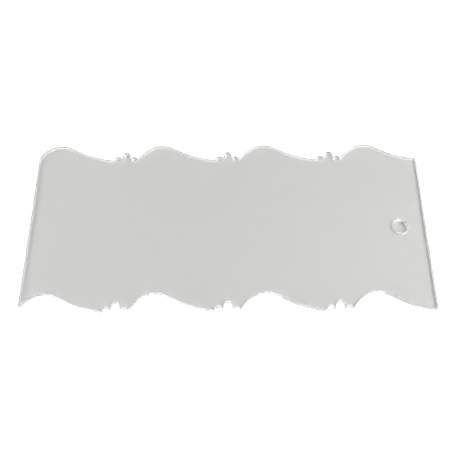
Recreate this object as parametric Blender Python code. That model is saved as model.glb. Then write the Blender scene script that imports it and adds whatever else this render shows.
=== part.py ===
# Cake comb: one flat sheet of clear acrylic, laser cut on both long edges.
# Both edges follow the same line: long one-sided waves with a cluster of three small arches in each trough.
# Along the far edge (+Y) the arches stand out as bumps, along the near edge (-Y) they are cut in as notches.
# The ends are straight. A hanging hole goes through the sheet near its right end (+X).
# The sheet lies flat with its underside at Z = 0, and the middle of its outline at the origin.

import math

import bmesh
import bpy
from mathutils import Matrix, Vector

# The sheet, in metres.
LENGTH = 0.2286
WIDTH = 0.0975  # from a point of the near edge to the same point of the far edge
THICKNESS = 0.0032
EDGE_BREAK = 0.00012  # small chamfer along every rim

# The wave. Heights are measured from the line through the tips of the troughs.
PITCH = 0.0615
FOOT_HEIGHT = 0.0005
RISE_LENGTH = 0.0144  # from the foot to the crest, along the sheet
CREST_HEIGHT = 0.01045

# How far each curve keeps the direction that it starts or ends with.
FOOT_REACH = Vector((0.0029, 0.00495))
CREST_REACH_BACK = Vector((0.0065, 0.0))
CREST_REACH_ON = Vector((0.0094, 0.0))
TIP_REACH = Vector((0.0226, -0.00345))

# The arches between two waves: a tall one in the middle, and a low one on each side of it.
TALL_ARCH_WIDTH = 0.0052
TALL_ARCH_HEIGHT = 0.0056
LEFT_ARCH_WIDTH = 0.0044
RIGHT_ARCH_WIDTH = 0.0034
LOW_ARCH_HEIGHT = 0.00245
TOOTH_WIDTH = 0.0005  # blunt point that parts two arches
TOOTH_HEIGHT = 0.00105
TIP_WIDTH = 0.0011
FOOT_WIDTH = 0.0005

# The hanging hole.
HOLE_DIAMETER = 0.0092
HOLE_FROM_RIGHT_END = 0.0148
HOLE_ABOVE_MIDLINE = 0.0023  # from the line midway between the two lines of tips

# Number of straight facets that each curve of the outline becomes.
CURVE_FACETS = 9
STRAIGHT_WITHIN = 0.0000001  # a stretch whose handles lie this close to its chord is a straight one
SMOOTH_BELOW = math.radians(30)
WELD_DISTANCE = 0.000001

# Handle length that turns a cubic curve into a quarter of an ellipse, as a share of the half axis.
QUARTER_HANDLE = 4 / 3 * (math.sqrt(2) - 1)

# Finish of the acrylic.
ACRYLIC_COLOUR = (0.93, 0.93, 0.925, 1.0)
ACRYLIC_ROUGHNESS = 0.03
ACRYLIC_IOR = 1.49


def clear_scene():
    for scene_object in list(bpy.data.objects):
        bpy.data.objects.remove(scene_object, do_unlink=True)


def straight(start, end):
    """One straight stretch of the outline, kept as a cubic curve: its two ends and two handles."""
    return [start, start.lerp(end, 1 / 3), start.lerp(end, 2 / 3), end]


def is_straight(stretch):
    start, start_handle, end_handle, end = stretch
    along = (end - start).normalized()
    return all(abs(along.cross(handle - start)) < STRAIGHT_WITHIN for handle in (start_handle, end_handle))


def half_arch_up(base, top):
    """A quarter of an ellipse that leaves its base upright and reaches its top level."""
    rise = Vector((0.0, (top.y - base.y) * QUARTER_HANDLE))
    level = Vector(((top.x - base.x) * QUARTER_HANDLE, 0.0))
    return [base, base + rise, top - level, top]


def backwards(stretch):
    return stretch[::-1]


def arch(left_base, right_base, top_height):
    top = Vector(((left_base.x + right_base.x) / 2, top_height))
    return [half_arch_up(left_base, top), backwards(half_arch_up(right_base, top))]


def split(stretch, share):
    """The two parts of a cubic curve, cut at a share of its parameter."""
    start, start_handle, end_handle, end = stretch
    first = start.lerp(start_handle, share)
    middle = start_handle.lerp(end_handle, share)
    last = end_handle.lerp(end, share)
    before = first.lerp(middle, share)
    after = middle.lerp(last, share)
    cut = before.lerp(after, share)
    return [start, first, before, cut], [cut, after, last, end]


def arches(middle):
    """The three arches of one trough and the points between them, from the tip to the foot of the next wave."""
    tall_left = middle - TALL_ARCH_WIDTH / 2
    tall_right = middle + TALL_ARCH_WIDTH / 2
    left_end = tall_left - TOOTH_WIDTH
    right_start = tall_right + TOOTH_WIDTH
    left_start = left_end - LEFT_ARCH_WIDTH
    right_end = right_start + RIGHT_ARCH_WIDTH
    tip = Vector((left_start - TIP_WIDTH, 0.0))
    tip_corner = Vector((left_start, 0.0))
    tooth_corners = [Vector((x, TOOTH_HEIGHT)) for x in (left_end, tall_left, tall_right, right_start)]
    foot_corner = Vector((right_end, FOOT_HEIGHT))
    foot = Vector((right_end + FOOT_WIDTH, FOOT_HEIGHT))
    return [
        straight(tip, tip_corner),
        *arch(tip_corner, tooth_corners[0], LOW_ARCH_HEIGHT),
        straight(tooth_corners[0], tooth_corners[1]),
        *arch(tooth_corners[1], tooth_corners[2], TALL_ARCH_HEIGHT),
        straight(tooth_corners[2], tooth_corners[3]),
        *arch(tooth_corners[3], foot_corner, LOW_ARCH_HEIGHT),
        straight(foot_corner, foot),
    ]


def wave(foot, next_tip):
    """One wave: a short steep rise to the crest and a long fall to the next tip, in two parts."""
    crest = Vector((foot.x + RISE_LENGTH, CREST_HEIGHT))
    rise = [foot, foot + FOOT_REACH, crest - CREST_REACH_BACK, crest]
    fall = [crest, crest + CREST_REACH_ON, next_tip - TIP_REACH, next_tip]
    return [rise, *split(fall, 0.5)]


def cut_at(stretch, place):
    """The parts of a stretch to the left and to the right of a place along the sheet."""
    low = 0.0
    high = 1.0
    for _ in range(40):
        share = (low + high) / 2
        if split(stretch, share)[0][-1].x < place:
            low = share
        else:
            high = share
    return split(stretch, share)


def edge_line():
    """The line that both long edges follow, from the left end of the sheet to its right end."""
    end = LENGTH / 2
    groups = math.ceil(end / PITCH)
    stretches = []
    for number in range(-groups, groups + 1):
        cluster = arches(number * PITCH)
        next_tip = cluster[0][0] + Vector((PITCH, 0.0))
        stretches += cluster + wave(cluster[-1][-1], next_tip)
    line = []
    for stretch in stretches:
        if stretch[-1].x <= -end or stretch[0].x >= end:
            continue
        if stretch[0].x < -end:
            stretch = cut_at(stretch, -end)[1]
        if stretch[-1].x > end:
            stretch = cut_at(stretch, end)[0]
        line.append(stretch)
    return line


def moved(stretches, offset):
    return [[point + offset for point in stretch] for stretch in stretches]


def sheet_outline():
    """The closed outline: the far edge, the right end, the near edge and the left end."""
    line = edge_line()
    near_tips = -(WIDTH + CREST_HEIGHT) / 2
    far = moved(line, Vector((0.0, near_tips + WIDTH)))
    near = [backwards(stretch) for stretch in reversed(moved(line, Vector((0.0, near_tips))))]
    right_end = straight(far[-1][-1], near[0][0])
    left_end = straight(near[-1][-1], far[0][0])
    return far + [right_end] + near + [left_end]


def hole_outline():
    radius = HOLE_DIAMETER / 2
    centre = Vector((LENGTH / 2 - HOLE_FROM_RIGHT_END, HOLE_ABOVE_MIDLINE - CREST_HEIGHT / 2))
    start = Vector((radius, 0.0))
    end = Vector((0.0, radius))
    quarter = [start, start + end * QUARTER_HANDLE, end + start * QUARTER_HANDLE, end]
    turns = [Matrix.Rotation(math.radians(angle), 2) for angle in (0, 90, 180, 270)]
    return [[centre + turn @ point for point in quarter] for turn in turns]


def add_spline(curve, stretches):
    """A closed spline along the stretches. A straight one keeps no points between its ends."""
    spline = curve.splines.new("BEZIER")
    spline.bezier_points.add(len(stretches) - 1)
    spline.use_cyclic_u = True
    spline.resolution_u = CURVE_FACETS
    for knot, stretch, previous in zip(spline.bezier_points, stretches, stretches[-1:] + stretches[:-1]):
        knot.handle_left_type = "VECTOR" if is_straight(previous) else "FREE"
        knot.handle_right_type = "VECTOR" if is_straight(stretch) else "FREE"
        knot.co = stretch[0].to_3d()
        knot.handle_left = previous[2].to_3d()
        knot.handle_right = stretch[1].to_3d()


def acrylic():
    material = bpy.data.materials.new("clear_acrylic")
    material.use_nodes = True
    shader = material.node_tree.nodes["Principled BSDF"]
    shader.inputs["Base Color"].default_value = ACRYLIC_COLOUR
    shader.inputs["Metallic"].default_value = 0.0
    shader.inputs["Roughness"].default_value = ACRYLIC_ROUGHNESS
    shader.inputs["IOR"].default_value = ACRYLIC_IOR
    shader.inputs["Transmission Weight"].default_value = 1.0
    return material


def weld_rims(mesh):
    """Joins the loose top and bottom faces to the walls."""
    solid = bmesh.new()
    solid.from_mesh(mesh)
    bmesh.ops.remove_doubles(solid, verts=solid.verts, dist=WELD_DISTANCE)
    bmesh.ops.recalc_face_normals(solid, faces=solid.faces)
    solid.to_mesh(mesh)
    solid.free()


def comb_plate(collection):
    """The whole comb: the outline with its hole, as thick as the sheet, with its rims broken."""
    curve = bpy.data.curves.new("comb_outline", "CURVE")
    curve.dimensions = "2D"
    curve.fill_mode = "BOTH"
    curve.extrude = THICKNESS / 2 - EDGE_BREAK
    curve.bevel_depth = EDGE_BREAK
    curve.bevel_resolution = 0
    curve.offset = -EDGE_BREAK
    add_spline(curve, sheet_outline())
    add_spline(curve, hole_outline())
    guide = bpy.data.objects.new("comb_outline", curve)
    collection.objects.link(guide)
    guide.location.z = THICKNESS / 2
    bpy.context.view_layer.update()
    depsgraph = bpy.context.evaluated_depsgraph_get()
    mesh = bpy.data.meshes.new_from_object(guide.evaluated_get(depsgraph))
    mesh.name = "comb_plate"
    weld_rims(mesh)
    mesh.materials.clear()
    mesh.materials.append(acrylic())
    mesh.shade_smooth()
    mesh.set_sharp_from_angle(angle=SMOOTH_BELOW)
    plate = bpy.data.objects.new("comb_plate", mesh)
    collection.objects.link(plate)
    plate.matrix_world = guide.matrix_world
    bpy.data.objects.remove(guide)


def main():
    clear_scene()
    collection = bpy.data.collections.new("cake_comb")
    bpy.context.scene.collection.children.link(collection)
    comb_plate(collection)


main()
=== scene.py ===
import math

import bmesh
import bpy
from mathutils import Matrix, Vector


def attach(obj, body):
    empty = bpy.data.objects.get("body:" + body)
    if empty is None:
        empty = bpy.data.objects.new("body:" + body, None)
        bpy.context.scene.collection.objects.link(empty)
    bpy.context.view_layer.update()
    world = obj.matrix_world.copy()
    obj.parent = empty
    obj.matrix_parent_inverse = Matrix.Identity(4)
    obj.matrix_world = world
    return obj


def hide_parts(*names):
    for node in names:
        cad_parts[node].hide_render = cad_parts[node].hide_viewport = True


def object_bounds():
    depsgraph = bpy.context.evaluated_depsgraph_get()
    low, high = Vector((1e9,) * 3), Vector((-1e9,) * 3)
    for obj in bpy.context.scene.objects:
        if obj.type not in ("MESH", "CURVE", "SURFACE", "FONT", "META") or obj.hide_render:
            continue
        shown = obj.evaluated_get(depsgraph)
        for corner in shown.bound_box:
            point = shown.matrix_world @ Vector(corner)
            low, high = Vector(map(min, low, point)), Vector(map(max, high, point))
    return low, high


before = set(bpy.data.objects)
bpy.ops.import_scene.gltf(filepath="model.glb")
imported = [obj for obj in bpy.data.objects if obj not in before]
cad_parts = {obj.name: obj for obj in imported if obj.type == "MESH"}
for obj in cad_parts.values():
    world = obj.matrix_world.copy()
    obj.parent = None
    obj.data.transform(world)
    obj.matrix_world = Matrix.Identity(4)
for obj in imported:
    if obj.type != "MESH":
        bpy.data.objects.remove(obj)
cad_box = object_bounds()

# The photograph's camera, in metres and degrees. The picture is 460 pixels wide and high.
PICTURE_WIDTH = 460
CAMERA_PLACE = (0.0036632, -0.1963035, 0.3584784)
CAMERA_BELOW_HORIZON = 61.709
CAMERA_TURN = -0.447
FOCAL_LENGTH_IN_PIXELS = 701.48
SHIFT_IN_PIXELS = -6.849
SENSOR_WIDTH = 36
NEAREST_IN_VIEW = 0.01

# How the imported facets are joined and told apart, in metres and degrees.
WELD_DISTANCE = 0.000001
FLAT_ANGLE = 0.5  # facets that lean less than this against each other become one
SHARP_ANGLE = 30  # an edge between facets that lean more than this stays sharp
END_DEPTH = 0.0003  # a wall facet whose middle lies this close to an end belongs to it
FACE_NORMAL_Z = 0.9  # a facet that points straighter up or down than this is part of a face, not of a wall
FACE_FINISH, CUT_FINISH, SAWN_FINISH = range(3)

# The sheet's finish.
ACRYLIC_IOR = 1.49
FACE_TINT = (0.985, 0.985, 0.982, 1.0)
END_CLEARNESS = 0.58

# The sheet's fine detail: two levels of tint or roughness, sizes and depths in metres, and turns in degrees.
# A squeeze above 1 makes the grains of the noise shorter along that axis, and one below 1 makes them longer.
NOISE_DETAIL = 3
NOISE_RANGE = (0.3, 0.7)  # where nearly all of the noise lies
FACE_ROUGHNESS = (0.012, 0.04)
SMEAR_SIZE = 0.018
WIPING_MARK_SIZE = 0.004
WIPING_MARK_SQUEEZE = (1, 25, 1)
WIPING_MARK_DEPTH = 0.0000001
WIPING_DIRECTION = 32
CUT_ROUGHNESS = (0.02, 0.07)
CUT_GLOSS_SQUEEZE = (1, 1, 0.2)
CUT_LINE_SIZE = 0.0004
CUT_LINE_SQUEEZE = (1, 1, 0.04)
CUT_LINE_DEPTH = 0.0000008
END_TINT = (0.69, 0.79)
END_ROUGHNESS = (0.5, 0.68)
SAW_MARK_SIZE = 0.0006
SAW_MARK_SQUEEZE = (1, 1, 0.1)
SAW_MARK_DEPTH = 0.00001
SAW_MARK_TILT = 20

# The stage under the sheet.
FLOOR_SIZE = 6.0
FLOOR_DEPTH = 0.0004
FLOOR_COLOUR = (0.8, 0.8, 0.8, 1.0)
CARD_DEPTH = 0.0002
CARD_COLOUR = (0.738, 0.734, 0.72, 1.0)
HOLE_SIDES_AT_MOST = 100
BACKDROP_STRENGTH = 0.56  # added where the floor is seen straight or through the sheet
BACKDROP_RISE = (0.3, 1.0)  # from where to where, away from the sheet, that strength rises to plain white

# The light. A level of 1 makes a white floor white.
PLAIN_WHITE = 1.0  # the strength at which something that glows shows as white
WHITE = (1.0, 1.0, 1.0, 1.0)
BLACK = (0.0, 0.0, 0.0, 1.0)
DOME_LEVEL = 0.22
BOUNCES = 128
LAMP_SIZE = 0.64  # side of a lamp for each metre of its distance
# Place in the sky (from +X towards +Y), height above the floor in degrees, distance, and level.
SOFTBOXES = {
    "softbox_key": (350, 46, 0.7, 0.49),
    "softbox_right": (20, 25, 0.6, 0.07),
    "softbox_left": (180, 22, 0.5, 0.2),
}
FRONT_LAMP = (250, 58, 1.4, 0.06)  # weak, because the sheet mirrors a real lamp at its full brightness


def principled(name, colour):
    material = bpy.data.materials.new(name)
    material.use_nodes = True
    shader = material.node_tree.nodes["Principled BSDF"]
    shader.inputs["Base Color"].default_value = colour
    return material, shader


def matt(name, colour):
    material, shader = principled(name, colour)
    shader.inputs["Roughness"].default_value = 1.0
    shader.inputs["Specular IOR Level"].default_value = 0.0
    return material, shader


def acrylic(name, clearness=1.0):
    material, shader = principled(name, FACE_TINT)
    shader.inputs["IOR"].default_value = ACRYLIC_IOR
    shader.inputs["Transmission Weight"].default_value = clearness
    return material, shader


def remap(tree, value, before, after):
    """A node that moves a value from one range to another."""
    node = tree.nodes.new("ShaderNodeMapRange")
    for name, number in zip(("From Min", "From Max", "To Min", "To Max"), before + after):
        node.inputs[name].default_value = number
    tree.links.new(value, node.inputs["Value"])
    return node


def compute(tree, operation, first, second):
    node = tree.nodes.new("ShaderNodeMath")
    node.operation = operation
    tree.links.new(first, node.inputs[0])
    tree.links.new(second, node.inputs[1])
    return node.outputs[0]


def mottle(tree, size, levels=(0, 1), squeeze=(1, 1, 1), turn=(0, 0, 0)):
    """Noise between two levels. Its grains have that size, divided by the squeeze along each axis."""
    place = tree.nodes.new("ShaderNodeTexCoord")
    mapping = tree.nodes.new("ShaderNodeMapping")
    mapping.inputs["Scale"].default_value = squeeze
    mapping.inputs["Rotation"].default_value = [math.radians(angle) for angle in turn]
    noise = tree.nodes.new("ShaderNodeTexNoise")
    noise.inputs["Scale"].default_value = 1 / size
    noise.inputs["Detail"].default_value = NOISE_DETAIL
    tree.links.new(place.outputs["Object"], mapping.inputs["Vector"])
    tree.links.new(mapping.outputs["Vector"], noise.inputs["Vector"])
    return remap(tree, noise.outputs["Fac"], NOISE_RANGE, levels).outputs["Result"]


def engrave(tree, shader, marks, depth):
    bump = tree.nodes.new("ShaderNodeBump")
    bump.inputs["Distance"].default_value = depth
    tree.links.new(marks, bump.inputs["Height"])
    tree.links.new(bump.outputs["Normal"], shader.inputs["Normal"])


def clear_acrylic():
    """The polished faces of the sheet, with smears from handling and faint wiping marks."""
    material, shader = acrylic("clear_acrylic")
    tree = material.node_tree
    tree.links.new(mottle(tree, SMEAR_SIZE, FACE_ROUGHNESS), shader.inputs["Roughness"])
    marks = mottle(tree, WIPING_MARK_SIZE, squeeze=WIPING_MARK_SQUEEZE, turn=(0, 0, WIPING_DIRECTION))
    engrave(tree, shader, marks, WIPING_MARK_DEPTH)
    return material


def cut_acrylic():
    """The laser-cut walls of the waves and of the hole: nearly polished, with fine upright lines."""
    material, shader = acrylic("cut_acrylic")
    tree = material.node_tree
    gloss = mottle(tree, CUT_LINE_SIZE, CUT_ROUGHNESS, squeeze=CUT_GLOSS_SQUEEZE)
    tree.links.new(gloss, shader.inputs["Roughness"])
    engrave(tree, shader, mottle(tree, CUT_LINE_SIZE, squeeze=CUT_LINE_SQUEEZE), CUT_LINE_DEPTH)
    return material


def sawn_acrylic():
    """The straight ends, which are sawn and stay matt, with slanting saw marks."""
    material, shader = acrylic("sawn_acrylic", END_CLEARNESS)
    tree = material.node_tree
    tree.links.new(mottle(tree, SAW_MARK_SIZE, END_TINT), shader.inputs["Base Color"])
    tree.links.new(mottle(tree, SAW_MARK_SIZE, END_ROUGHNESS), shader.inputs["Roughness"])
    marks = mottle(tree, SAW_MARK_SIZE, squeeze=SAW_MARK_SQUEEZE, turn=(SAW_MARK_TILT, 0, 0))
    engrave(tree, shader, marks, SAW_MARK_DEPTH)
    return material


def welded_plate():
    """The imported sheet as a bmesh, with its facets joined."""
    plate = bmesh.new()
    plate.from_mesh(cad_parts["comb_plate"].data)
    bmesh.ops.remove_doubles(plate, verts=plate.verts, dist=WELD_DISTANCE)
    flat = math.radians(FLAT_ANGLE)
    bmesh.ops.dissolve_limit(plate, angle_limit=flat, verts=plate.verts, edges=plate.edges)
    return plate


def new_piece(name, shape, materials):
    mesh = bpy.data.meshes.new(name)
    shape.to_mesh(mesh)
    shape.free()
    for material in materials:
        mesh.materials.append(material)
    piece = bpy.data.objects.new(name, mesh)
    bpy.context.scene.collection.objects.link(piece)
    return piece


def comb_sheet():
    shape = welded_plate()
    half_length = cad_box[1][0]
    for face in shape.faces:
        if abs(face.normal.z) > FACE_NORMAL_Z:
            face.material_index = FACE_FINISH
        elif abs(face.calc_center_median().x) > half_length - END_DEPTH:
            face.material_index = SAWN_FINISH
        else:
            face.material_index = CUT_FINISH
    sheet = new_piece("comb_sheet", shape, [clear_acrylic(), cut_acrylic(), sawn_acrylic()])
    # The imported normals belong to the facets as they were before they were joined.
    sheet.data.attributes.remove(sheet.data.attributes["custom_normal"])
    sheet.data.shade_smooth()
    sheet.data.set_sharp_from_angle(angle=math.radians(SHARP_ANGLE))
    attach(sheet, "root")
    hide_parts("comb_plate")


def light_or_backdrop(tree, light):
    """That level as light, and plain white where it is seen straight, mirrored or through the sheet."""
    path = tree.nodes.new("ShaderNodeLightPath")
    seen = path.outputs["Is Camera Ray"]
    for ray in ("Is Glossy Ray", "Is Transmission Ray"):
        seen = compute(tree, "MAXIMUM", seen, path.outputs[ray])
    # A ray that has met something matt has a depth of 1 or more, and is light and not a view.
    unscattered = compute(tree, "GREATER_THAN", seen, path.outputs["Diffuse Depth"])
    return remap(tree, unscattered, (0.0, 1.0), (light, PLAIN_WHITE))


def floor():
    material, shader = matt("floor", FLOOR_COLOUR)
    shader.inputs["Emission Color"].default_value = WHITE
    tree = material.node_tree
    strength = light_or_backdrop(tree, 0.0)
    tree.links.new(strength.outputs["Result"], shader.inputs["Emission Strength"])
    place = tree.nodes.new("ShaderNodeTexCoord")
    distance = tree.nodes.new("ShaderNodeVectorMath")
    distance.operation = "LENGTH"
    tree.links.new(place.outputs["Object"], distance.inputs[0])
    rise = remap(tree, distance.outputs["Value"], BACKDROP_RISE, (BACKDROP_STRENGTH, PLAIN_WHITE))
    tree.links.new(rise.outputs["Result"], strength.inputs["To Max"])
    bpy.ops.mesh.primitive_plane_add(size=FLOOR_SIZE, location=(0.0, 0.0, -FLOOR_DEPTH))
    plane = bpy.context.object
    plane.name = "floor"
    plane.data.materials.append(material)


def grey_card():
    """The grey that shows under the whole sheet, also in its hole."""
    material, _ = matt("grey_card", CARD_COLOUR)
    shape = welded_plate()
    others = [face for face in shape.faces if face.normal.z > -FACE_NORMAL_Z]
    bmesh.ops.delete(shape, geom=others, context="FACES")
    bmesh.ops.holes_fill(shape, edges=shape.edges, sides=HOLE_SIDES_AT_MOST)
    bmesh.ops.translate(shape, verts=shape.verts, vec=(0.0, 0.0, -CARD_DEPTH))
    card = new_piece("grey_card", shape, [material])


def facing_origin(azimuth, elevation, distance):
    """The place of a lamp in the sky and the turn that points it at the origin."""
    around = math.radians(azimuth)
    above = math.radians(elevation)
    reach = math.cos(above)
    direction = Vector((reach * math.cos(around), reach * math.sin(around), math.sin(above)))
    return direction * distance, direction.to_track_quat("Z", "Y").to_euler()


def softbox(name, azimuth, elevation, distance, level):
    """A square panel that gives the floor at the origin that level. A mirror shows it plain white."""
    material, shader = matt(name, BLACK)
    shader.inputs["Emission Color"].default_value = WHITE
    tree = material.node_tree
    radiance = math.pi * level / (LAMP_SIZE ** 2 * math.sin(math.radians(elevation)))
    strength = light_or_backdrop(tree, radiance)
    tree.links.new(strength.outputs["Result"], shader.inputs["Emission Strength"])
    place, turn = facing_origin(azimuth, elevation, distance)
    bpy.ops.mesh.primitive_plane_add(size=LAMP_SIZE * distance, location=place, rotation=turn)
    panel = bpy.context.object
    panel.name = name
    panel.data.materials.append(material)
    panel.visible_camera = False


def front_lamp(azimuth, elevation, distance, level):
    """A square lamp that gives the floor at the origin that level."""
    data = bpy.data.lights.new("front_lamp", "AREA")
    data.size = LAMP_SIZE * distance
    data.energy = level * math.pi ** 2 * distance ** 2 / math.sin(math.radians(elevation))
    lamp = bpy.data.objects.new("front_lamp", data)
    lamp.location, lamp.rotation_euler = facing_origin(azimuth, elevation, distance)
    lamp.visible_camera = False
    bpy.context.scene.collection.objects.link(lamp)


def dome():
    world = bpy.data.worlds.new("studio")
    bpy.context.scene.world = world
    world.use_nodes = True
    tree = world.node_tree
    background = tree.nodes["Background"]
    background.inputs["Color"].default_value = WHITE
    level = light_or_backdrop(tree, DOME_LEVEL)
    tree.links.new(level.outputs["Result"], background.inputs["Strength"])


def camera():
    data = bpy.data.cameras.new("camera")
    data.sensor_width = SENSOR_WIDTH
    data.lens = FOCAL_LENGTH_IN_PIXELS * SENSOR_WIDTH / PICTURE_WIDTH
    data.shift_x = SHIFT_IN_PIXELS / PICTURE_WIDTH
    data.clip_start = NEAREST_IN_VIEW
    eye = bpy.data.objects.new("camera", data)
    eye.location = CAMERA_PLACE
    eye.rotation_euler = (math.radians(90 - CAMERA_BELOW_HORIZON), 0.0, math.radians(CAMERA_TURN))
    bpy.context.scene.collection.objects.link(eye)
    bpy.context.scene.camera = eye


def light_paths():
    """Light that is guided inside the sheet turns round many times before it leaves."""
    scene = bpy.context.scene
    scene.view_settings.view_transform = "Standard"
    scene.cycles.max_bounces = BOUNCES
    scene.cycles.glossy_bounces = BOUNCES
    scene.cycles.transmission_bounces = BOUNCES
    scene.cycles.blur_glossy = 0.0


camera()
comb_sheet()
floor()
grey_card()
dome()
for softbox_name, softbox_place in SOFTBOXES.items():
    softbox(softbox_name, *softbox_place)
front_lamp(*FRONT_LAMP)
light_paths()
